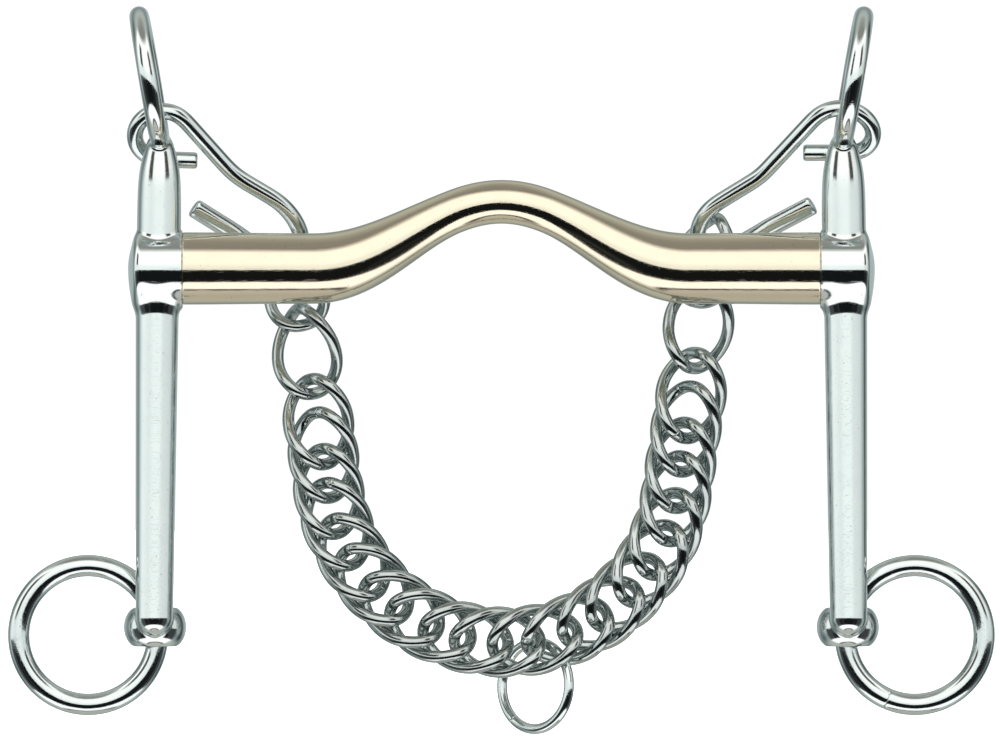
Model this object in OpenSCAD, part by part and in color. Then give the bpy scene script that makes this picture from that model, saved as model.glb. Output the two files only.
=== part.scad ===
// Weymouth-type curb bit: port mouthpiece, fixed cheeks with loose rein
// rings, curb hooks, double curb chain and lip-strap ring.
// Millimetres.  X runs across the horse's mouth, +Y is the side of the curb
// hooks and chain, +Z is up.  The origin is on the axis of the mouthpiece,
// midway between the two cheeks.

/* [Mouthpiece] */
// Width between the inner faces of the two cheek collars
mouth_w = 133.8; // [120:0.2:150]
// Diameter of the mouthpiece beside the cheeks
canon_d = 15.24; // [14:0.02:17]
// Diameter of the mouthpiece at the top of the port
port_d = 9.24; // [8:0.02:11]
// Rise of the port above the straight bar
port_rise = 14; // [6:0.5:20]
// Half the width of the port along the bar
port_half_w = 39.5; // [34:0.5:44]

/* [Cheeks] */
// Height of the eye centre above the mouthpiece axis
eye_h = 40; // [39:0.5:42]
// Radius of the eye, measured to the middle of its wire
eye_r = 13.2; // [13:0.1:13.6]
// Wire diameter of the eye
eye_wire_d = 4.1; // [3.9:0.1:4.2]
// Outward lean of the eye, degrees
eye_lean = 9.5; // [8:0.5:11]
// Distance from the mouthpiece axis down to the end of the shank
shank_len = 77.2; // [70:0.1:90]
// Shank diameter just below the mouthpiece
shank_top_d = 9.2; // [8.6:0.1:9.6]
// Shank diameter at its lower end
shank_end_d = 7.9; // [7:0.1:8]
// Diameter of the bead that carries the rein ring
bead_d = 13.2; // [12.6:0.1:14]
// Height of the bead
bead_h = 8.8; // [8:0.1:9.4]
// Diameter of the hole for the rein ring
bead_hole_d = 7.8; // [7.6:0.1:8.2]

/* [Rein rings] */
// Outer diameter of a rein ring
rein_ring_od = 33.8; // [32:0.2:38]
// Wire diameter of a rein ring
rein_wire_d = 4.6; // [4:0.1:4.8]

/* [Curb hooks] */
// Wire diameter of the curb hooks
hook_wire_d = 3.5; // [3.1:0.1:3.6]
// Rearward swing of the hooks from straight down, degrees
hook_swing = 25; // [25:1:26]

/* [Curb chain] */
// Wire diameter of the chain links
link_wire_d = 2.6; // [2.3:0.1:2.7]
// Outer length of a chain link
link_len = 20.8; // [20.6:0.1:20.9]
// Outer width of a chain link before it is twisted
link_w = 15.2; // [15.1:0.1:15.4]
// Twist from the middle of a link to either end, degrees
link_twist = 50; // [48:1:54]
// Spacing of the doubly linked part of the chain
link_pitch = 7.45; // [7.4:0.01:7.5]

/* [Lip-strap ring] */
// Outer diameter of the lip-strap ring
fly_ring_od = 20.6; // [20.4:0.1:20.8]
// Wire diameter of the lip-strap ring
fly_wire_d = 2.2; // [2:0.1:2.3]

/* [Hidden] */

STEEL = [0.80, 0.83, 0.83];
RING_STEEL = [0.74, 0.78, 0.78];
GOLD = [0.85, 0.72, 0.52];

canon_r = canon_d / 2;
inner_x = mouth_w / 2;          // inner face of a cheek collar
cheek_x = inner_x + 5.5;        // axis of the shank at the mouthpiece
collar_out = inner_x + 9.9;     // where the domed outer face starts
dome_h = 1.4;                   // height of that dome
spigot_d = 8;
spigot_len = 12;
eye_x = inner_x + 7;            // centre of the eye
bead_x = inner_x + 6;           // axis of the bead
bead_y = 6.8;
bead_z = 1.8 - shank_len;

// ---------------------------------------------------------------- helpers

// A bent path is a list of [length, degrees turned over that length].
// turn_from() gives [x, y, heading] after travelling s along one of them.
function turn_from(p, len, turn, s) =
    turn == 0 ? [p[0] + s * cos(p[2]), p[1] + s * sin(p[2]), p[2]]
    : let (r = len * 180 / (turn * PI), a = turn * s / len)
      [p[0] + r * (sin(p[2] + a) - sin(p[2])),
       p[1] - r * (cos(p[2] + a) - cos(p[2])),
       p[2] + a];

function along(segs, p, s, i = 0) =
    (s <= segs[i][0] || i == len(segs) - 1)
    ? turn_from(p, segs[i][0], segs[i][1], s)
    : along(segs, turn_from(p, segs[i][0], segs[i][1], segs[i][0]),
            s - segs[i][0], i + 1);

function total(segs, i = 0) =
    i == len(segs) ? 0 : segs[i][0] + total(segs, i + 1);

function unit(v) = v / norm(v);
function spow(v, e) = sign(v) * pow(abs(v), e);

// One ring of points round c, in the plane across the direction dir.
function ring_at(c, dir, ref, r, sides) =
    let (t = unit(dir),
         n = unit(ref - (ref * t) * t),
         b = cross(t, n))
    [for (k = [0:sides - 1])
        c + r * (cos(360 * (k + 0.5) / sides) * n
               + sin(360 * (k + 0.5) / sides) * b)];

// The radius that gives a many-sided bar the same section as a round one.
function fair(r, sides) = r * sqrt(2 * PI / (sides * sin(360 / sides)));

// Solid round bar through the centres pts, with flat ends.
module open_bar(pts, dirs, refs, radii, sides) {
    n = len(pts);
    rings = [for (i = [0:n - 1])
                each ring_at(pts[i], dirs[i], refs[i], radii[i], sides)];
    polyhedron(
        points = rings,
        faces = concat(
            [[for (k = [0:sides - 1]) k]],
            [for (i = [0:n - 2]) for (k = [0:sides - 1])
                let (a = i * sides + k, b = i * sides + (k + 1) % sides)
                [a, a + sides, b + sides, b]],
            [[for (k = [sides - 1:-1:0]) (n - 1) * sides + k]]),
        convexity = 6);
}

// Solid round bar that closes on itself.
module closed_bar(pts, dirs, refs, r, sides) {
    n = len(pts);
    rings = [for (i = [0:n - 1])
                each ring_at(pts[i], dirs[i], refs[i], r, sides)];
    polyhedron(
        points = rings,
        faces = [for (i = [0:n - 1]) for (k = [0:sides - 1])
            let (a = i * sides + k, b = i * sides + (k + 1) % sides,
                 c = ((i + 1) % n) * sides + (k + 1) % sides,
                 d = ((i + 1) % n) * sides + k)
            [a, d, c, b]],
        convexity = 6);
}

module torus(r, wire_r) {
    rotate_extrude($fn = 96) translate([r, 0]) circle(r = wire_r, $fn = 32);
}

// ------------------------------------------------------------- mouthpiece

function step01(t) = let (c = max(0, min(1, t))) c * c * (3 - 2 * c);
function bar_z(x) =
    abs(x) >= port_half_w ? 0 : port_rise * pow(cos(90 * x / port_half_w), 2);
function bar_slope(x) =
    abs(x) >= port_half_w ? 0
    : -port_rise * sin(180 * x / port_half_w) * PI / (2 * port_half_w);
function bar_r(x) =
    port_d / 2
    + (canon_r - port_d / 2 - 0.2) * step01((abs(x) - 9.5) / 29.5)
    + 0.2 * step01((abs(x) - port_half_w) / (inner_x - port_half_w));

module mouthpiece() {
    sides = 24;
    steps = 44;
    xs = concat([-inner_x],
                [for (i = [0:steps])
                    (port_half_w + 4) * (2 * i / steps - 1)],
                [inner_x]);
    color(GOLD) difference() {
        open_bar([for (x = xs) [x, 0, bar_z(x)]],
                 [for (x = xs) [1, 0, bar_slope(x)]],
                 [for (x = xs) [0, 1, 0]],
                 [for (x = xs) fair(bar_r(x), sides)], sides);
        for (s = [-1, 1])
            translate([s * (inner_x - spigot_len - 0.3), 0, 0])
                rotate([0, s * 90, 0])
                    cylinder(d = spigot_d + 0.1, h = spigot_len + 2, $fn = 48);
    }
}

// ----------------------------------------------------------------- cheeks

// Built for the right side (+X); the left one is its mirror image.
module cheek() {
    top_z = eye_h - eye_r * cos(eye_lean) - 1.4;
    top_x = eye_x - eye_r * sin(eye_lean);
    difference() {
        union() {
            // eye, seen edge-on from the front
            translate([eye_x, 0, eye_h]) rotate([0, eye_lean + 90, 0])
                torus(eye_r, eye_wire_d / 2);
            // stem from the eye down to the collar
            translate([top_x, 0, top_z]) sphere(r = 3.1, $fn = 48);
            limb([top_x, 0, top_z], 3.1, [cheek_x - 0.6, 0, 17.5], 4.3);
            limb([cheek_x - 0.6, 0, 17.5], 4.3, [cheek_x - 0.4, 0, 2], 4.6);
            // collar over the end of the mouthpiece, with a domed outer face
            translate([inner_x, 0, 0]) rotate([0, 90, 0])
                cylinder(r = canon_r, h = collar_out - inner_x, $fn = 96);
            translate([collar_out, 0, 0]) rotate([0, 90, 0]) dome(canon_r, dome_h);
            // spigot inside the mouthpiece
            translate([inner_x - spigot_len, 0, 0]) rotate([0, 90, 0])
                cylinder(d = spigot_d, h = spigot_len + 2, $fn = 48);
            // shank with a rounded end
            limb([cheek_x - 0.2, 0, 0], shank_top_d / 2,
                 [bead_x, 0, shank_end_d / 2 - shank_len], shank_end_d / 2);
            translate([bead_x, 0, shank_end_d / 2 - shank_len])
                sphere(d = shank_end_d, $fn = 64);
            // bead behind the end of the shank
            translate([bead_x, bead_y, bead_z]) bead();
        }
        translate([bead_x, bead_y, bead_z - bead_h])
            cylinder(d = bead_hole_d, h = 2 * bead_h, $fn = 64);
    }
}

// Tapered round limb between two points in the XZ plane.
module limb(a, ra, b, rb) {
    d = b - a;
    translate(a) rotate([0, atan2(d[0], d[2]), 0])
        cylinder(r1 = ra, r2 = rb, h = norm(d), $fn = 64);
}

module dome(r, h) {
    R = (r * r + h * h) / (2 * h);
    rotate_extrude($fn = 96) intersection() {
        translate([0, h - R]) circle(r = R, $fn = 180);
        square([r, h]);
    }
}

module bead() {
    core = bead_d / 2 - 3.6;
    rotate_extrude($fn = 96) intersection() {
        union() {
            square([core + 1.2, bead_h], center = false);
            translate([0, -bead_h]) square([core + 1.2, bead_h * 2]);
            translate([core, 0]) circle(r = 3.6, $fn = 48);
            translate([core - 0.2, 1.4]) circle(r = 3, $fn = 48);
            translate([core - 0.2, -1.4]) circle(r = 3, $fn = 48);
        }
        translate([0, -bead_h / 2]) square([bead_d, bead_h]);
    }
}

module right_cheek() { color(STEEL) cheek(); }
module left_cheek() { color(STEEL) mirror([1, 0, 0]) cheek(); }

// ------------------------------------------------------------- rein rings

rein_r = (rein_ring_od - rein_wire_d) / 2;

module rein_ring(side) {
    color(RING_STEEL)
        translate([side * (bead_x + rein_r - 0.5), bead_y, bead_z - 1.7])
            rotate([90, 0, 0]) torus(rein_r, rein_wire_d / 2);
}

module left_rein_ring() { rein_ring(-1); }
module right_rein_ring() { rein_ring(1); }

// ------------------------------------------------------------- curb hooks

// Each hook is one bent wire: stub, loop round the eye, cranked shaft,
// hairpin and prong.  It lies in a plane that swings about the line
// through both eye centres; [x, distance down that plane].
left_hook_bends = [[8, 0], [11, -116], [12, -113], [13.5, 0], [5.5, 18],
                   [6.5, 0], [11, -43], [10.5, -138.5], [19.5, 0]];
left_hook_start = [-64, -19, 178];
right_hook_bends = [[10.5, 0], [9, -118], [14.5, -112], [16, 0], [2.5, 16],
                    [9.5, 0], [9, -52], [8.5, -124], [21.5, 0]];
right_hook_start = [-63.5, -17.2, 180];

module hook_wire(bends, start) {
    sides = 10;
    steps = 72;
    len_all = total(bends);
    w = [for (i = [0:steps]) along(bends, start, len_all * i / steps)];
    // the swing turns "down" [0,0,-1] towards +Y
    down = [0, sin(hook_swing), -cos(hook_swing)];
    flat = [0, cos(hook_swing), sin(hook_swing)];
    open_bar([for (p = w) [p[0], 0, eye_h] - p[1] * down],
             [for (p = w) [cos(p[2]), 0, 0] - sin(p[2]) * down],
             [for (p = w) flat],
             [for (i = [0:steps])
                 fair(hook_wire_d / 2, sides)
                 * ((i == 0 || i == steps) ? 0.8 : 1)], sides);
}

module left_curb_hook() {
    color(RING_STEEL) hook_wire(left_hook_bends, left_hook_start);
}
module right_curb_hook() {
    color(RING_STEEL) mirror([1, 0, 0])
        hook_wire(right_hook_bends, right_hook_start);
}

// ------------------------------------------------------------- curb chain

chain_y = 15;
chain_start = [-43, -3, -81.5];
chain_bends = [[44, 0], [53.8, 81.5], [51.7, 81.5], [52, 0]];
link_a = (link_len - link_wire_d) / 2;
link_b = (link_w - link_wire_d) / 2;
single_pitch = 14.7;

// distance of link i (0..23) along the chain
function link_s(i) =
    i < 2 ? i * single_pitch
    : i > 21 ? 2 * single_pitch + 19 * link_pitch + (i - 21) * single_pitch
    : 2 * single_pitch + (i - 2) * link_pitch
      + (i % 2 == 0 ? 0.15 : -0.15);

// How single links hang: [dx, dz, lean, roll, dy, tip, slide].  The end links
// turn on the hooks, and the links by the lip-strap ring make room for it.
function link_set(i) =
    i == 0 ? [-0.9, 0, 4.7, 36, 1.85, 0, 0]
    : i == 1 ? [-0.4, 0.2, 0, 15, 0.9, 0, 0]
    : i == 9 ? [0, 0, 0, -2.4, -0.03, 0, 0.02]
    : i == 10 ? [0, 0, 0, -1.9, 0.08, 0, 0.1]
    : i == 11 ? [0, 0, 0, 2.7, -0.07, 0, -0.28]
    : i == 12 ? [0, 0, 0, -2.8, -0.18, 0, -0.04]
    : i == 13 ? [0, 0, 0, 9.2, 0.27, 0, -0.11]
    : i == 14 ? [0, 0, 0, 0.8, -0.02, 0, 0.09]
    : i == 15 ? [0, 0, 0, 0.2, -0.05, 0, -0.11]
    : i == 16 ? [0, 0, 0, -0.5, -0.25, 0, 0.04]
    : i == 22 ? [-0.6, 0.1, 0, 0, 0.9, 0, 0]
    : i == 23 ? [-1.2, -0.6, -5.8, -20, 1.7, 0, 0]
    : [0, 0, 0, 0, 0, 0, 0];

// Centre line of a twisted link; t runs round it.
function link_local(t) =
    let (e = 2 / 2.4,
         u = link_b * spow(cos(t), e),
         v = link_a * spow(sin(t), e))
    [u, v];
function link_point(i, t) =
    let (g = link_set(i),
         p = along(chain_bends, chain_start, link_s(i) + g[6]),
         h = p[2] + g[2],
         q = link_local(t),
         turn = -link_twist * q[1] / link_a + g[3],
         tan = [cos(h), 0, sin(h)] * cos(g[5]) + [0, sin(g[5]), 0],
         dep = [0, cos(g[5]), 0] - [cos(h), 0, sin(h)] * sin(g[5]),
         nor = [sin(h), 0, -cos(h)])
    [p[0] + g[0], chain_y + g[4], p[1] + g[1]]
    + q[0] * cos(turn) * nor + q[0] * sin(turn) * dep + q[1] * tan;
function link_centre(i) =
    (link_point(i, 90) + link_point(i, 270)) / 2;

module chain_link(i) {
    sides = 8;
    steps = 24;
    ts = [for (k = [0:steps - 1])
             let (t = 360 * (k + 0.5) / steps) t - 9 * sin(4 * t) / 4];
    pts = [for (t = ts) link_point(i, t)];
    color(RING_STEEL)
        closed_bar(pts,
                   [for (t = ts) link_point(i, t + 2) - link_point(i, t - 2)],
                   [for (p = pts) p - link_centre(i)],
                   fair(link_wire_d / 2, sides), sides);
}

// --------------------------------------------------------- lip-strap ring

fly_r = (fly_ring_od - fly_wire_d) / 2;
fly_turn = -40;                 // turned to pass through the chain
fly_tip = -2.8;

module lip_strap_ring() {
    color(RING_STEEL)
        translate([7.2, 19.45, -88]) rotate([0, 0, fly_turn])
            rotate([90 + fly_tip, 0, 0]) torus(fly_r, fly_wire_d / 2);
}

mouthpiece();
left_cheek();
right_cheek();
left_rein_ring();
right_rein_ring();
left_curb_hook();
right_curb_hook();
chain_link(0);  // chain_link_01
chain_link(1);  // chain_link_02
chain_link(2);  // chain_link_03
chain_link(3);  // chain_link_04
chain_link(4);  // chain_link_05
chain_link(5);  // chain_link_06
chain_link(6);  // chain_link_07
chain_link(7);  // chain_link_08
chain_link(8);  // chain_link_09
chain_link(9);  // chain_link_10
chain_link(10);  // chain_link_11
chain_link(11);  // chain_link_12
chain_link(12);  // chain_link_13
chain_link(13);  // chain_link_14
chain_link(14);  // chain_link_15
chain_link(15);  // chain_link_16
chain_link(16);  // chain_link_17
chain_link(17);  // chain_link_18
chain_link(18);  // chain_link_19
chain_link(19);  // chain_link_20
chain_link(20);  // chain_link_21
chain_link(21);  // chain_link_22
chain_link(22);  // chain_link_23
chain_link(23);  // chain_link_24
lip_strap_ring();
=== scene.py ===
import math
import bpy
import numpy as np
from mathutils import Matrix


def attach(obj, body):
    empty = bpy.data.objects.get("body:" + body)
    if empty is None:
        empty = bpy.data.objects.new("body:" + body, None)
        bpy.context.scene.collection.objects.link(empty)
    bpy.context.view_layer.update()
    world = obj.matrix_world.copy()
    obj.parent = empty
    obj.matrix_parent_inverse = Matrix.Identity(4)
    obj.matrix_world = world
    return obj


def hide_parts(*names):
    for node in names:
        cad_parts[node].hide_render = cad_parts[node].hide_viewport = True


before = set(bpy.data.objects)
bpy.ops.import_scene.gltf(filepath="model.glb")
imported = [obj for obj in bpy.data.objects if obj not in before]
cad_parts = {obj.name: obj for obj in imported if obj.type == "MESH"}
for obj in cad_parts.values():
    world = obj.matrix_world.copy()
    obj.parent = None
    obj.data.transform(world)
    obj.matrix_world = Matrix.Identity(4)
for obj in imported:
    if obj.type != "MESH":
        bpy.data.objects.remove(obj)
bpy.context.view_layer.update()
MM = 0.001
rng = np.random.default_rng(7)

# ------------------------------------------------------------ path helpers


def turn_from(p, length, turn, s):
    h = math.radians(p[2])
    if turn == 0:
        return (p[0] + s * math.cos(h), p[1] + s * math.sin(h), p[2])
    r = length * 180 / (turn * math.pi)
    a = turn * s / length
    k = math.radians(p[2] + a)
    return (p[0] + r * (math.sin(k) - math.sin(h)), p[1] - r * (math.cos(k) - math.cos(h)), p[2] + a)


def along(segs, p, s):
    for i, (length, turn) in enumerate(segs):
        if s <= length or i == len(segs) - 1:
            return turn_from(p, length, turn, s)
        p = turn_from(p, length, turn, length)
        s -= length


def unit(v):
    v = np.asarray(v, float)
    return v / np.maximum(np.linalg.norm(v, axis=-1, keepdims=True), 1e-12)


def mesh_object(name, verts, faces, normals=None, sharp=None):
    me = bpy.data.meshes.new(name)
    me.from_pydata([tuple(v) for v in np.asarray(verts) * MM], [], faces)
    me.validate()
    me.shade_smooth()
    if sharp is not None:
        me.set_sharp_from_angle(angle=math.radians(sharp))
    if normals is not None:
        me.normals_split_custom_set_from_vertices([tuple(n) for n in normals])
    ob = bpy.data.objects.new(name, me)
    bpy.context.scene.collection.objects.link(ob)
    return ob


def bar(name, pts, refs, radii, sides=24, closed=False, flat=None, sharp=40):
    """A round bar along pts. flat scales the section along refs, a list of one factor a ring."""
    pts = np.asarray(pts, float)
    n = len(pts)
    if closed:
        d = np.roll(pts, -1, 0) - np.roll(pts, 1, 0)
    else:
        d = np.gradient(pts, axis=0)
    t = unit(d)
    refs = np.asarray(refs, float)
    nn = unit(refs - (refs * t).sum(1, keepdims=True) * t)
    bb = np.cross(t, nn)
    a = 2 * np.pi * np.arange(sides) / sides
    radii = np.broadcast_to(np.asarray(radii, float), (n,))
    flat = np.ones(n) if flat is None else np.asarray(flat, float)
    v = (pts[:, None, :]
         + (radii * flat)[:, None, None] * np.cos(a)[None, :, None] * nn[:, None, :]
         + radii[:, None, None] * np.sin(a)[None, :, None] * bb[:, None, :]).reshape(-1, 3)
    faces = []
    for i in range(n if closed else n - 1):
        j = (i + 1) % n
        for k in range(sides):
            m = (k + 1) % sides
            faces.append((i * sides + k, i * sides + m, j * sides + m, j * sides + k))
    if not closed:
        faces.append(tuple(range(sides - 1, -1, -1)))
        faces.append(tuple((n - 1) * sides + k for k in range(sides)))
    return mesh_object(name, v, faces, sharp=sharp)


# --------------------------------------------------------------- materials


def node(nt, kind, **inputs):
    nd = nt.nodes.new(kind)
    for k, v in inputs.items():
        nd.inputs[k].default_value = v
    return nd


def polished(name, light, dark, rough, seed, scratch_axis=2, wave=0.35, tarnish=None):
    m = bpy.data.materials.new(name)
    m.use_nodes = True
    nt = m.node_tree
    L = nt.links.new
    bsdf = nt.nodes["Principled BSDF"]
    bsdf.inputs["Metallic"].default_value = 1.0
    bsdf.inputs["IOR"].default_value = 2.4
    tc = nt.nodes.new("ShaderNodeTexCoord")
    mp = nt.nodes.new("ShaderNodeMapping")
    mp.inputs["Location"].default_value = (seed * 1.7, seed * 0.9, seed * 2.3)
    mp.inputs["Scale"].default_value = (1000, 1000, 1000)
    L(tc.outputs["Object"], mp.inputs["Vector"])
    # slow cloudiness of the polish
    cloud = node(nt, "ShaderNodeTexNoise", Scale=0.22, Detail=4.0, Roughness=0.55)
    L(mp.outputs["Vector"], cloud.inputs["Vector"])
    fine = node(nt, "ShaderNodeTexNoise", Scale=3.2, Detail=5.0, Roughness=0.65)
    L(mp.outputs["Vector"], fine.inputs["Vector"])
    # drawn-out scratches in two directions
    scr = []
    for s, (ax, k) in enumerate(((scratch_axis, 26.0), ((scratch_axis + 1) % 3, 18.0))):
        ms = nt.nodes.new("ShaderNodeMapping")
        sc = [k, k, k]
        sc[ax] = 0.5
        ms.inputs["Scale"].default_value = sc
        ms.inputs["Rotation"].default_value = (0.35 * s + 0.1, 0.25 - 0.4 * s, 0.2 * s)
        L(mp.outputs["Vector"], ms.inputs["Vector"])
        n = node(nt, "ShaderNodeTexNoise", Scale=0.5, Detail=2.0)
        L(ms.outputs["Vector"], n.inputs["Vector"])
        r = nt.nodes.new("ShaderNodeValToRGB")
        r.color_ramp.elements[0].position = 0.60
        r.color_ramp.elements[1].position = 0.72
        L(n.outputs["Fac"], r.inputs["Fac"])
        scr.append(r.outputs["Color"])
    both = nt.nodes.new("ShaderNodeMath")
    both.operation = "MAXIMUM"
    L(scr[0], both.inputs[0])
    L(scr[1], both.inputs[1])
    # small pits
    pit = node(nt, "ShaderNodeTexVoronoi", Scale=0.55)
    L(mp.outputs["Vector"], pit.inputs["Vector"])
    pr = nt.nodes.new("ShaderNodeValToRGB")
    pr.color_ramp.elements[0].position = 0.05
    pr.color_ramp.elements[0].color = (1, 1, 1, 1)
    pr.color_ramp.elements[1].position = 0.09
    pr.color_ramp.elements[1].color = (0, 0, 0, 1)
    L(pit.outputs["Distance"], pr.inputs["Fac"])
    # colour
    col = nt.nodes.new("ShaderNodeMix")
    col.data_type = "RGBA"
    col.inputs["A"].default_value = (*light, 1)
    col.inputs["B"].default_value = (*dark, 1)
    L(cloud.outputs["Fac"], col.inputs["Factor"])
    col2 = nt.nodes.new("ShaderNodeMix")
    col2.data_type = "RGBA"
    L(col.outputs["Result"], col2.inputs["A"])
    t = tarnish or tuple(c * 0.55 for c in dark)
    col2.inputs["B"].default_value = (*t, 1)
    pf = nt.nodes.new("ShaderNodeMath")
    pf.operation = "MULTIPLY"
    pf.inputs[1].default_value = 0.45
    L(pr.outputs["Color"], pf.inputs[0])
    L(pf.outputs["Value"], col2.inputs["Factor"])
    L(col2.outputs["Result"], bsdf.inputs["Base Color"])
    # roughness
    rr = nt.nodes.new("ShaderNodeMapRange")
    rr.inputs["From Min"].default_value = 0.3
    rr.inputs["From Max"].default_value = 0.75
    rr.inputs["To Min"].default_value = rough[0]
    rr.inputs["To Max"].default_value = rough[1]
    L(fine.outputs["Fac"], rr.inputs["Value"])
    ra = nt.nodes.new("ShaderNodeMath")
    ra.operation = "MULTIPLY_ADD"
    ra.inputs[1].default_value = 0.05
    L(both.outputs["Value"], ra.inputs[0])
    L(rr.outputs["Result"], ra.inputs[2])
    L(ra.outputs["Value"], bsdf.inputs["Roughness"])
    # height: hand-polish waviness, scratches and pits
    hsum = nt.nodes.new("ShaderNodeMath")
    hsum.operation = "MULTIPLY_ADD"
    hsum.inputs[1].default_value = -0.035
    L(both.outputs["Value"], hsum.inputs[0])
    wv = node(nt, "ShaderNodeTexNoise", Scale=0.33, Detail=1.5, Roughness=0.4)
    L(mp.outputs["Vector"], wv.inputs["Vector"])
    wm = nt.nodes.new("ShaderNodeMath")
    wm.operation = "MULTIPLY"
    wm.inputs[1].default_value = wave
    L(wv.outputs["Fac"], wm.inputs[0])
    L(wm.outputs["Value"], hsum.inputs[2])
    h2 = nt.nodes.new("ShaderNodeMath")
    h2.operation = "MULTIPLY_ADD"
    h2.inputs[1].default_value = -0.08
    L(pr.outputs["Color"], h2.inputs[0])
    L(hsum.outputs["Value"], h2.inputs[2])
    bp = nt.nodes.new("ShaderNodeBump")
    bp.inputs["Strength"].default_value = 0.5
    bp.inputs["Distance"].default_value = 0.00012
    L(h2.outputs["Value"], bp.inputs["Height"])
    L(bp.outputs["Normal"], bsdf.inputs["Normal"])
    return m


STEEL = polished("polished_steel", (0.83, 0.875, 0.865), (0.76, 0.81, 0.805), (0.03, 0.09), 1.0, wave=0.1)
RING = polished("ring_steel", (0.80, 0.85, 0.845), (0.69, 0.74, 0.735), (0.04, 0.11), 4.0, 0, 0.5)
HOOK = polished("hook_steel", (0.79, 0.845, 0.84), (0.66, 0.72, 0.715), (0.05, 0.13), 7.0, 0, 0.6)
# the chain's steel has darker base colours than the other steel parts: painted shade for the dark between the links
CHAIN = polished("chain_steel", (0.68, 0.725, 0.715), (0.40, 0.44, 0.435), (0.05, 0.13), 11.0, 1, 0.7)
GOLD = polished("gold_alloy", (0.90, 0.81, 0.655), (0.84, 0.745, 0.58), (0.03, 0.08), 17.0, 0, 0.15,
                tarnish=(0.45, 0.33, 0.2))


def dress(ob, mat, body, cad):
    ob.data.materials.append(mat)
    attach(ob, body)
    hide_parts(cad)
    return ob


# -------------------------------------------------------------- mouthpiece

INNER, CANON_R, PORT_R, RISE, HALF = 66.9, 7.62, 4.62, 14.0, 39.5


def step01(t):
    t = np.clip(t, 0, 1)
    return t * t * (3 - 2 * t)


def bar_z(x):
    return np.where(np.abs(x) < HALF, RISE * np.cos(np.pi * x / (2 * HALF)) ** 2, 0)


def bar_r(x):
    return (PORT_R + (CANON_R - PORT_R - 0.2) * step01((np.abs(x) - 9.5) / 29.5)
            + 0.2 * step01((np.abs(x) - HALF) / (INNER - HALF)))


xs = np.concatenate([[-INNER, -INNER + 0.06, -INNER + 0.16], np.linspace(-INNER + 0.4, INNER - 0.4, 260),
                     [INNER - 0.16, INNER - 0.06, INNER]])
rad = bar_r(xs) - 0.015
rad[[0, -1]] -= 0.16
rad[[1, -2]] -= 0.06
mp = bar("mouthpiece_bar", np.c_[xs, 0 * xs, bar_z(xs)], np.tile([0, 1, 0], (len(xs), 1)), rad, 72)
dress(mp, GOLD, "bit", "mouthpiece")

# ------------------------------------------------------------------ cheeks
# A signed distance field of the forging, so its parts run into each other
# with the soft fillets of a polished forging.

EYE_H, EYE_R, EYE_W, LEAN = 40.0, 13.2, 2.05, 9.5
CX, EX, BX, BY = INNER + 5.5, INNER + 7.0, INNER + 6.0, 6.8
SHANK_L, TOP_R, END_R = 77.2, 4.6, 3.95
BZ = 1.8 - SHANK_L


def smin(a, b, k):
    h = np.clip(0.5 + 0.5 * (b - a) / k, 0, 1)
    return b * (1 - h) + a * h - k * h * (1 - h)


def smax(a, b, k):
    return -smin(-a, -b, k)


def cone_capsule(P, a, ra, b, rb):
    a, b = np.array(a, float), np.array(b, float)
    ab = b - a
    h = np.clip(((P - a) @ ab) / (ab @ ab), 0, 1)
    return np.linalg.norm(P - a - h[..., None] * ab, axis=-1) - (ra + (rb - ra) * h)


def cheek_sdf(P):
    x, y, z = P[..., 0], P[..., 1], P[..., 2]
    l = math.radians(LEAN)
    dx, dz = x - EX, z - EYE_H
    u = dx * math.sin(l) + dz * math.cos(l)          # in the plane of the eye
    w = dx * math.cos(l) - dz * math.sin(l)          # across it
    eye = np.hypot(np.hypot(u, y) - EYE_R, w) - EYE_W
    tz = EYE_H - EYE_R * math.cos(l) - 1.4
    tx = EX - EYE_R * math.sin(l)
    v = np.maximum(tz - z, 0)
    k = np.clip(v / (tz - 2), 0, 1.2)
    stem = np.hypot(x - (tx + (CX - 0.4 - tx) * k), y) - (4.63 - 1.53 * np.exp(-(v / 4.2) ** 1.3))
    stem = np.maximum(smax(stem * 0.93, z - tz - 1.7, 2.6), -2 - z)
    upper = smin(eye, stem, 1.3)
    # collar with a domed outer face
    rad_c = np.hypot(y, z)
    cyl = rad_c - (CANON_R - 0.01)
    R = (CANON_R ** 2 + 1.4 ** 2) / 2.8
    cap = np.sqrt(rad_c ** 2 + (x - (INNER + 9.9 + 1.4 - R)) ** 2) - R
    collar = smax(smax(cyl, cap, 1.3), INNER + 0.01 - x, 0.12)
    shank = cone_capsule(P, (CX - 0.2, 0, 0), TOP_R, (BX, 0, END_R - SHANK_L), END_R)
    body = smin(collar, shank, 3.0)
    body = smin(body, upper, 0.9)
    body = smax(body, INNER + 0.01 - x, 0.1)
    # spigot inside the mouthpiece
    spig = np.maximum(rad_c - 3.95, np.abs(x - (INNER - 5)) - 6.8)
    body = np.minimum(body, spig)
    # bead and its hole
    rb = np.hypot(x - BX, y - BY)
    qz = np.abs(z - BZ)
    core = np.sqrt(np.maximum(rb - 3.3, 0) ** 2 / (3.28 / 4.4) ** 2 + qz ** 2)
    bead = (core - 4.4) * 0.8
    body = smin(body, bead, 0.7)
    hole = np.maximum(rb - 3.85, np.abs(z - BZ) - 8.8)
    return smax(body, -hole, 0.9)


def grad(f, P, e=0.02):
    g = np.stack([(f(P + d) - f(P - d)) / (2 * e) for d in np.eye(3) * e], -1)
    return g


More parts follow.
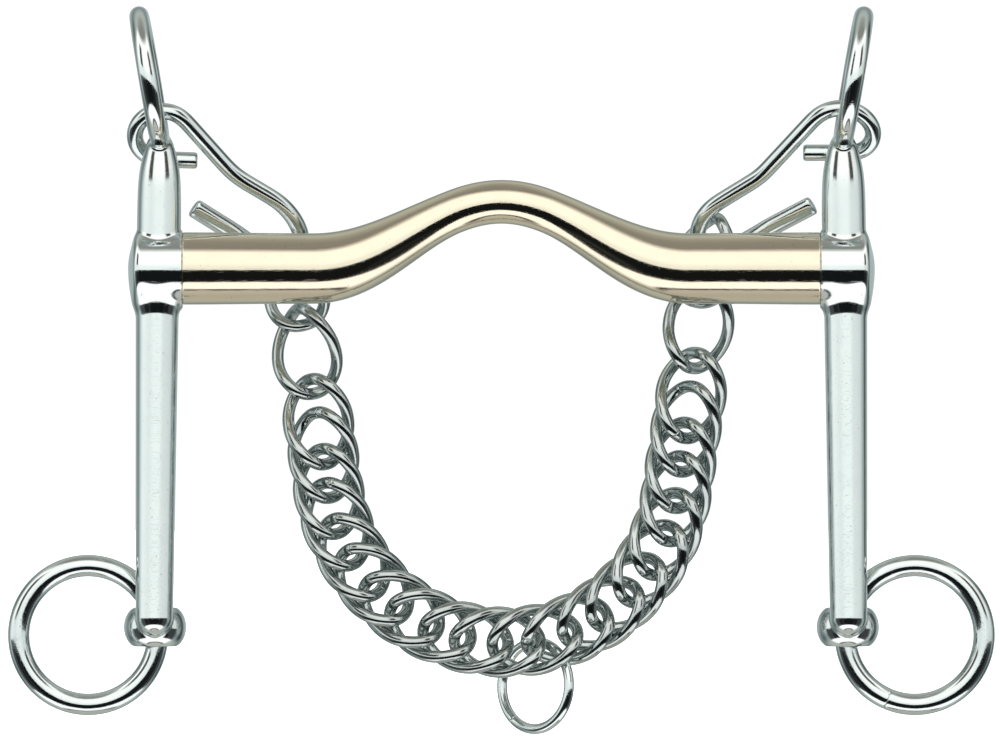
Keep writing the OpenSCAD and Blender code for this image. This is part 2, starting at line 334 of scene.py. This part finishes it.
def surface(f, lo, hi, step):
    """Surface nets over a grid, with each point pulled onto the true surface."""
    lo, hi = np.array(lo, float), np.array(hi, float)
    n = np.ceil((hi - lo) / step).astype(int) + 1
    ax = [lo[k] + step * np.arange(n[k]) for k in range(3)]
    G = np.empty(n, np.float32)
    for i in range(n[0]):
        Y, Z = np.meshgrid(ax[1], ax[2], indexing="ij")
        G[i] = f(np.stack([np.full_like(Y, ax[0][i]), Y, Z], -1))
    inside = G < 0
    c = inside[:-1, :-1, :-1].astype(np.int8)
    tot = np.zeros_like(c)
    for dx in (0, 1):
        for dy in (0, 1):
            for dz in (0, 1):
                tot += inside[dx:n[0] - 1 + dx, dy:n[1] - 1 + dy, dz:n[2] - 1 + dz]
    active = (tot > 0) & (tot < 8)
    idx = -np.ones(active.shape, np.int64)
    cells = np.argwhere(active)
    idx[active] = np.arange(len(cells))
    P = lo + (cells + 0.5) * step
    for it in range(6):
        g = grad(f, P)
        gn = (g * g).sum(-1, keepdims=True)
        d = f(P)[:, None] * g / np.maximum(gn, 1e-3)
        ln = np.linalg.norm(d, axis=1, keepdims=True)
        P = P - d * np.minimum(1, 0.5 * step / np.maximum(ln, 1e-9))
    faces = []
    for a in range(3):
        b, cc = (a + 1) % 3, (a + 2) % 3
        s0 = [slice(None)] * 3
        s1 = [slice(None)] * 3
        s0[a], s1[a] = slice(0, -1), slice(1, None)
        A, B = inside[tuple(s0)], inside[tuple(s1)]
        e = np.argwhere(A != B)
        ok = (e[:, b] > 0) & (e[:, cc] > 0) & (e[:, b] < n[b] - 1) & (e[:, cc] < n[cc] - 1)
        e = e[ok]
        flip = A[e[:, 0], e[:, 1], e[:, 2]]
        q = []
        for db, dc in ((0, 0), (-1, 0), (-1, -1), (0, -1)):
            k = e.copy()
            k[:, b] += db
            k[:, cc] += dc
            q.append(idx[k[:, 0], k[:, 1], k[:, 2]])
        q = np.stack(q, 1)
        q[~flip] = q[~flip][:, ::-1]
        faces.append(q)
    F = np.concatenate(faces)
    N = unit(grad(f, P))
    return P, F, N


P, F, N = surface(cheek_sdf, (INNER - 13, -16.2, -81.4), (INNER + 13.5, 16.2, 56.6), 0.42)
# faces must look outwards
c0 = np.cross(P[F[:, 1]] - P[F[:, 0]], P[F[:, 2]] - P[F[:, 0]])
wrong = (c0 * N[F[:, 0]]).sum(1) < 0
if wrong.mean() > 0.5:
    F = F[:, ::-1]
for side, word in ((1, "right"), (-1, "left")):
    Q, M, K = P.copy(), N.copy(), F
    if side < 0:
        Q[:, 0] *= -1
        M[:, 0] *= -1
        K = F[:, ::-1]
    ob = mesh_object(word + "_cheek_forging", Q, K.tolist(), normals=M)
    dress(ob, STEEL, "bit", word + "_cheek")

# ------------------------------------------------------------------- rings


def round_ring(name, centre, R, r, seam_deg, mat, body, cad, ex=(1, 0, 0), ez=(0, 0, 1), rings=160, sides=28):
    """A ring of bent wire with the line of its butt weld."""
    a = np.radians(seam_deg) + 2 * np.pi * np.arange(rings) / rings
    extra = np.radians(seam_deg) + np.array([-0.16, -0.09, -0.045, 0.0, 0.045, 0.09, 0.16]) / R
    a = np.sort(np.concatenate([a[np.abs((a - np.radians(seam_deg) + np.pi) % (2 * np.pi) - np.pi) > 0.3 / R], extra]))
    off = np.abs((a - np.radians(seam_deg) + np.pi) % (2 * np.pi) - np.pi) * R
    rad = r - 0.012 - 0.10 * np.exp(-(off / 0.06) ** 2)
    ex, ez = np.array(ex, float), np.array(ez, float)
    pts = np.array(centre) + R * (np.cos(a)[:, None] * ex + np.sin(a)[:, None] * ez)
    return dress(bar(name, pts, pts - np.array(centre), rad, sides, closed=True, sharp=60), mat, body, cad)


RR = (33.8 - 4.6) / 2
for side, word, seam in ((1, "right", 247.0), (-1, "left", 20.0)):
    round_ring(word + "_rein_ring_wire", (side * (BX + RR - 0.5), BY, BZ - 1.7), RR, 2.3, seam, RING,
               word + "_rein_ring", word + "_rein_ring")

# ------------------------------------------------------------------- hooks

SWING = math.radians(25)
DOWN = np.array([0, math.sin(SWING), -math.cos(SWING)])
ACROSS = np.array([0, math.cos(SWING), math.sin(SWING)])
HOOKS = {
    "left": ([(8, 0), (11, -116), (12, -113), (13.5, 0), (5.5, 18), (6.5, 0), (11, -43), (10.5, -138.5), (19.5, 0)],
             (-64, -19, 178)),
    "right": ([(10.5, 0), (9, -118), (14.5, -112), (16, 0), (2.5, 16), (9.5, 0), (9, -52), (8.5, -124), (21.5, 0)],
              (-63.5, -17.2, 180)),
}
for word, (bends, start) in HOOKS.items():
    total = sum(b[0] for b in bends)
    s = np.concatenate([[0, 0.10, 0.28, 0.5], np.linspace(0.9, total - 0.9, 230), [total - 0.5, total - 0.28, total - 0.10, total]])
    w = np.array([along(bends, start, v) for v in s])
    # ease the bends a little, as in cold-bent wire
    k = np.exp(-0.5 * (np.arange(-8, 9) / 3.0) ** 2)
    k /= k.sum()
    ww = w.copy()
    for c in (0, 1):
        pad = np.concatenate([np.linspace(w[4, c] - 8 * (w[5, c] - w[4, c]), w[4, c], 8, endpoint=False), w[4:-4, c],
                              w[-5, c] + (w[-5, c] - w[-6, c]) * np.arange(1, 9)])
        ww[4:-4, c] = np.convolve(pad, k, "valid")
    pts = np.c_[ww[:, 0], 0 * s, 0 * s] + np.array([0, 0, EYE_H]) - ww[:, 1:2] * DOWN
    if word == "right":
        pts[:, 0] *= -1
    r = np.full(len(s), 1.735)
    for i, f in ((0, 0.66), (1, 0.84), (2, 0.94), (3, 0.985)):
        r[i] *= f
        r[-1 - i] *= f
    # the prong is slightly flattened towards its tip
    fl = np.ones(len(s))
    far = np.clip((s - (total - 17)) / 8, 0, 1)
    far = far * far * (3 - 2 * far)
    r = r * (1 + 0.22 * far)
    fl -= 0.36 * far
    ob = bar(word + "_curb_hook_wire", pts, np.tile(ACROSS, (len(s), 1)), r, 28, flat=fl, sharp=38)
    dress(ob, HOOK, word + "_curb_hook", word + "_curb_hook")

# ------------------------------------------------------------------- chain

CHAIN_Y = 15.0
START = (-43, -3, -81.5)
BENDS = [(44, 0), (53.8, 81.5), (51.7, 81.5), (52, 0)]
LA, LB, TWIST, PITCH, SINGLE = 9.1, 6.3, 50.0, 7.45, 14.7
SETS = {
    0: (-0.9, 0, 4.7, 36, 1.85, 0, 0), 1: (-0.4, 0.2, 0, 15, 0.9, 0, 0),
    9: (0, 0, 0, -2.4, -0.03, 0, 0.02),
    10: (0, 0, 0, -1.9, 0.08, 0, 0.1),
    11: (0, 0, 0, 2.7, -0.07, 0, -0.28),
    12: (0, 0, 0, -2.8, -0.18, 0, -0.04),
    13: (0, 0, 0, 9.2, 0.27, 0, -0.11),
    14: (0, 0, 0, 0.8, -0.02, 0, 0.09),
    15: (0, 0, 0, 0.2, -0.05, 0, -0.11),
    16: (0, 0, 0, -0.5, -0.25, 0, 0.04),
    22: (-0.6, 0.1, 0, 0, 0.9, 0, 0), 23: (-1.2, -0.6, -5.8, -20, 1.7, 0, 0),
}


def link_s(i):
    if i < 2:
        return i * SINGLE
    if i > 21:
        return 2 * SINGLE + 19 * PITCH + (i - 21) * SINGLE
    return 2 * SINGLE + (i - 2) * PITCH + (0.15 if i % 2 == 0 else -0.15)


def link_points(i, t):
    g = SETS.get(i, (0, 0, 0, 0, 0, 0))
    p = along(BENDS, START, link_s(i) + (g[6] if len(g) > 6 else 0))
    h, tip = math.radians(p[2] + g[2]), math.radians(g[5])
    c, s = np.cos(t), np.sin(t)
    u = LB * np.sign(c) * np.abs(c) ** (2 / 2.4)
    v = LA * np.sign(s) * np.abs(s) ** (2 / 2.4)
    turn = np.radians(-TWIST * v / LA + g[3])
    fwd = np.array([math.cos(h), 0, math.sin(h)])
    tan = fwd * math.cos(tip) + np.array([0, math.sin(tip), 0])
    dep = np.array([0, math.cos(tip), 0]) - fwd * math.sin(tip)
    nor = np.array([math.sin(h), 0, -math.cos(h)])
    c0 = np.array([p[0] + g[0], CHAIN_Y + g[4], p[1] + g[1]])
    return c0, c0 + (u * np.cos(turn))[:, None] * nor + (u * np.sin(turn))[:, None] * dep + v[:, None] * tan


for i in range(24):
    # even steps along the wire, with close rings at the weld
    t = np.linspace(0, 2 * np.pi, 1441)
    c0, q = link_points(i, t)
    arc = np.concatenate([[0], np.cumsum(np.linalg.norm(np.diff(q, axis=0), axis=1))])
    weld_t = math.radians(255 + 14 * math.sin(i * 2.3)) if i % 2 else math.radians(108 + 12 * math.sin(i * 1.7))
    ws = np.interp(weld_t, t, arc)
    s = np.arange(0, 128) * arc[-1] / 128
    s = s[np.abs(s - ws) > 0.3]
    s = np.sort(np.concatenate([s, ws + np.array([-0.2, -0.11, -0.055, 0, 0.055, 0.11, 0.2])])) % arc[-1]
    s.sort()
    tt = np.interp(s, arc, t)
    _, pts = link_points(i, tt)
    off = np.abs(s - ws)
    # wire swells a touch at the weld and has a fine line across it
    rad = 1.285 + 0.03 * np.exp(-(off / 0.9) ** 2) - 0.11 * np.exp(-(off / 0.07) ** 2)
    rad = np.minimum(rad, 1.31)
    ob = bar("curb_link_%02d" % (i + 1), pts, pts - c0, rad, 22, closed=True, sharp=60)
    dress(ob, CHAIN, "link_%02d" % (i + 1), "chain_link_%02d" % (i + 1))

# ----------------------------------------------------------- lip-strap ring

FLY = dict(centre=(7.2, 19.45, -88.0), yaw=-40.0, pitch=-2.8, R=9.2, r=1.1)
yw, pt = math.radians(FLY["yaw"]), math.radians(FLY["pitch"])
ex = (math.cos(yw), math.sin(yw), 0)
zz = np.array([0, -math.sin(pt), math.cos(pt)])
ez = (math.cos(yw) * zz[0] - math.sin(yw) * zz[1], math.sin(yw) * zz[0] + math.cos(yw) * zz[1], zz[2])
round_ring("lip_strap_ring_wire", FLY["centre"], FLY["R"], FLY["r"], 233, RING, "lip_strap_ring",
           "lip_strap_ring", ex, ez, 130, 24)

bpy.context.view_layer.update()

# ------------------------------------------------------------------- stage

# pale floor under the lowest ring
sm = bpy.data.meshes.new("stage_sweep")
sm.from_pydata([(-4, -4, -0.0985), (4, -4, -0.0985), (4, 4, -0.0985), (-4, 4, -0.0985)], [], [(0, 1, 2, 3)])
sm.shade_smooth()
sweep = bpy.data.objects.new("stage_sweep", sm)
bpy.context.scene.collection.objects.link(sweep)
wm = bpy.data.materials.new("stage_white")
wm.use_nodes = True
b = wm.node_tree.nodes["Principled BSDF"]
b.inputs["Base Color"].default_value = (0.9, 0.9, 0.9, 1)
b.inputs["Roughness"].default_value = 0.9
b.inputs["Emission Color"].default_value = (1, 1, 1, 1)
b.inputs["Emission Strength"].default_value = 1.0
sm.materials.append(wm)
sweep.visible_glossy = False
sweep.visible_shadow = False

# studio surroundings, by height round the object
world = bpy.data.worlds.new("studio")
bpy.context.scene.world = world
world.use_nodes = True
nt = world.node_tree
bg = nt.nodes["Background"]
tc = nt.nodes.new("ShaderNodeTexCoord")
sep = nt.nodes.new("ShaderNodeSeparateXYZ")
nt.links.new(tc.outputs["Generated"], sep.inputs["Vector"])


def ramp(stops, mode="LINEAR"):
    r = nt.nodes.new("ShaderNodeValToRGB")
    r.color_ramp.interpolation = mode
    el = r.color_ramp.elements
    while len(el) > 1:
        el.remove(el[-1])
    el[0].position, el[0].color = stops[0][0], (*stops[0][1], 1)
    for p, c in stops[1:]:
        e = el.new(p)
        e.color = (*c, 1)
    return r


def band(deg):
    return 0.5 + 0.5 * math.sin(math.radians(deg))


half = nt.nodes.new("ShaderNodeMath")
half.operation = "MULTIPLY_ADD"
half.inputs[1].default_value = 0.5
half.inputs[2].default_value = 0.5
nt.links.new(sep.outputs["Z"], half.inputs[0])
W, CREAM, DARK = (1.0, 1.0, 1.0), (1.0, 0.985, 0.955), (0.006, 0.007, 0.0075)
MID, BEIGE, LEVEL = (0.21, 0.21, 0.19), (0.46, 0.455, 0.42), (0.80, 0.84, 0.825)
SOFT = (0.05, 0.055, 0.055)
front = ramp([
    (0.0, (0.42, 0.41, 0.38)), (band(-77), BEIGE), (band(-75), (0.04, 0.04, 0.04)), (band(-71), (0.04, 0.04, 0.04)),
    (band(-69), W), (band(-46), W), (band(-44), DARK), (band(-5.5), DARK), (band(-4.6), LEVEL),
    (band(5), LEVEL), (band(16), CREAM), (band(52), CREAM), (band(60), (0.5, 0.5, 0.48)), (band(66), MID), (1.0, (0.22, 0.22, 0.21))])
front_wide = ramp([
    (0.0, (0.42, 0.41, 0.38)), (band(-77), BEIGE), (band(-75), (0.04, 0.04, 0.04)), (band(-71), (0.04, 0.04, 0.04)),
    (band(-69), W), (band(-46), W), (band(-44), SOFT), (band(-5.5), SOFT), (band(-4.6), LEVEL),
    (band(5), LEVEL), (band(16), CREAM), (band(52), CREAM), (band(60), (0.5, 0.5, 0.48)), (band(66), MID), (1.0, (0.22, 0.22, 0.21))])
back = ramp([
    (0.0, (0.38, 0.37, 0.33)), (band(-60), (0.38, 0.39, 0.36)), (band(-25), (0.30, 0.37, 0.37)), (band(-4), (0.62, 0.72, 0.71)),
    (band(6), (0.62, 0.72, 0.71)), (band(25), (0.34, 0.40, 0.40)), (band(58), (0.38, 0.40, 0.37)), (1.0, (0.24, 0.24, 0.22))])
nt.links.new(half.outputs["Value"], front.inputs["Fac"])
nt.links.new(half.outputs["Value"], front_wide.inputs["Fac"])
nt.links.new(half.outputs["Value"], back.inputs["Fac"])
side = nt.nodes.new("ShaderNodeMapRange")
side.interpolation_type = "SMOOTHSTEP"
side.inputs["From Min"].default_value = -0.12
side.inputs["From Max"].default_value = 0.16
nt.links.new(sep.outputs["Y"], side.inputs["Value"])
mix = nt.nodes.new("ShaderNodeMix")
mix.data_type = "RGBA"
nt.links.new(side.outputs["Result"], mix.inputs["Factor"])
nt.links.new(back.outputs["Color"], mix.inputs["B"])


def math_node(op, *vals):
    m = nt.nodes.new("ShaderNodeMath")
    m.operation = op
    for k, v in enumerate(vals):
        if isinstance(v, (int, float)):
            m.inputs[k].default_value = v
        else:
            nt.links.new(v, m.inputs[k])
    return m.outputs["Value"]


def smooth(value, lo, hi):
    r = nt.nodes.new("ShaderNodeMapRange")
    r.interpolation_type = "SMOOTHSTEP"
    r.inputs["From Min"].default_value = lo
    r.inputs["From Max"].default_value = hi
    nt.links.new(value, r.inputs["Value"])
    return r.outputs["Result"]


# round the object at eye level: lighter in front, duller towards the sides
turn = math_node("ARCTAN2", sep.outputs["X"], math_node("MULTIPLY", sep.outputs["Y"], -1.0))
turn01 = math_node("MULTIPLY_ADD", turn, 0.5 / math.pi, 0.5)
# the black strip under the camera fades to grey beside it
wide = nt.nodes.new("ShaderNodeMix")
wide.data_type = "RGBA"
nt.links.new(smooth(math_node("ABSOLUTE", turn), 0.50, 0.72), wide.inputs["Factor"])
nt.links.new(front.outputs["Color"], wide.inputs["A"])
nt.links.new(front_wide.outputs["Color"], wide.inputs["B"])
nt.links.new(wide.outputs["Result"], mix.inputs["A"])
level = ramp([(0.5 + d / 360, (v, v, v)) for d, v in (
    (-178, 0.6), (-135, 0.45), (-128, 0.28), (-112, 0.34), (-96, 0.85), (-75, 0.98), (-40, 0.90), (-14, 1.0), (20, 1.0),
    (38, 0.84), (60, 0.80), (80, 0.74), (97, 0.55), (108, 0.45), (114, 0.12), (128, 0.12), (136, 0.5), (178, 0.6))])
nt.links.new(turn01, level.inputs["Fac"])
high = math_node("ABSOLUTE", sep.outputs["Z"])
low_w = math_node("SUBTRACT", 1.0, smooth(high, 0.45, 0.8))
# two narrow black flags either side, above and below eye level
card = ramp([(0.5 + d / 360, (v, v, v)) for d, v in (
    (-64, 0.0), (-60, 1.0), (-40, 1.0), (-36, 0.0), (33, 0.0), (37, 1.0), (56, 1.0), (60, 0.0))])
nt.links.new(turn01, card.inputs["Fac"])
card_w = math_node("MULTIPLY", math_node("MULTIPLY", smooth(high, 0.13, 0.19), math_node("SUBTRACT", 1.0, smooth(high, 0.62, 0.72))),
                   math_node("MULTIPLY_ADD", smooth(sep.outputs["Z"], -0.05, 0.05), 0.18, 0.75))
shade = math_node("MULTIPLY",
                  math_node("SUBTRACT", 1.0, math_node("MULTIPLY", low_w, math_node("SUBTRACT", 1.0, level.outputs["Color"]))),
                  math_node("SUBTRACT", 1.0, math_node("MULTIPLY", card_w, card.outputs["Color"])))
vm = nt.nodes.new("ShaderNodeVectorMath")
vm.operation = "SCALE"
nt.links.new(mix.outputs["Result"], vm.inputs[0])
nt.links.new(shade, vm.inputs["Scale"])
nt.links.new(vm.outputs["Vector"], bg.inputs["Color"])
bg.inputs["Strength"].default_value = 1.3
# a plain white surround behind the object from every side
plain = nt.nodes.new("ShaderNodeBackground")
plain.inputs["Color"].default_value = (1, 1, 1, 1)
plain.inputs["Strength"].default_value = 1.05
path = nt.nodes.new("ShaderNodeLightPath")
pick = nt.nodes.new("ShaderNodeMixShader")
nt.links.new(path.outputs["Is Camera Ray"], pick.inputs[0])
nt.links.new(bg.outputs["Background"], pick.inputs[1])
nt.links.new(plain.outputs["Background"], pick.inputs[2])
nt.links.new(pick.outputs["Shader"], nt.nodes["World Output"].inputs["Surface"])

key = bpy.data.lights.new("soft_key", "AREA")
key.energy = 4
key.size = 0.6
ko = bpy.data.objects.new("soft_key", key)
ko.location = (-0.5, -0.9, 0.7)
ko.rotation_euler = (math.radians(52), 0, math.radians(-28))
ko.visible_glossy = False
bpy.context.scene.collection.objects.link(ko)

cam = bpy.data.cameras.new("camera")
co = bpy.data.objects.new("camera", cam)
bpy.context.scene.collection.objects.link(co)
DIST = 3.0
cam.sensor_width = 36
cam.lens = 36 * DIST / 0.21
cam.clip_end = 20
co.location = (-0.0003, -DIST, -0.02237)
co.rotation_euler = (math.radians(90), 0, 0)
bpy.context.scene.camera = co
bpy.context.scene.view_settings.view_transform = "Standard"
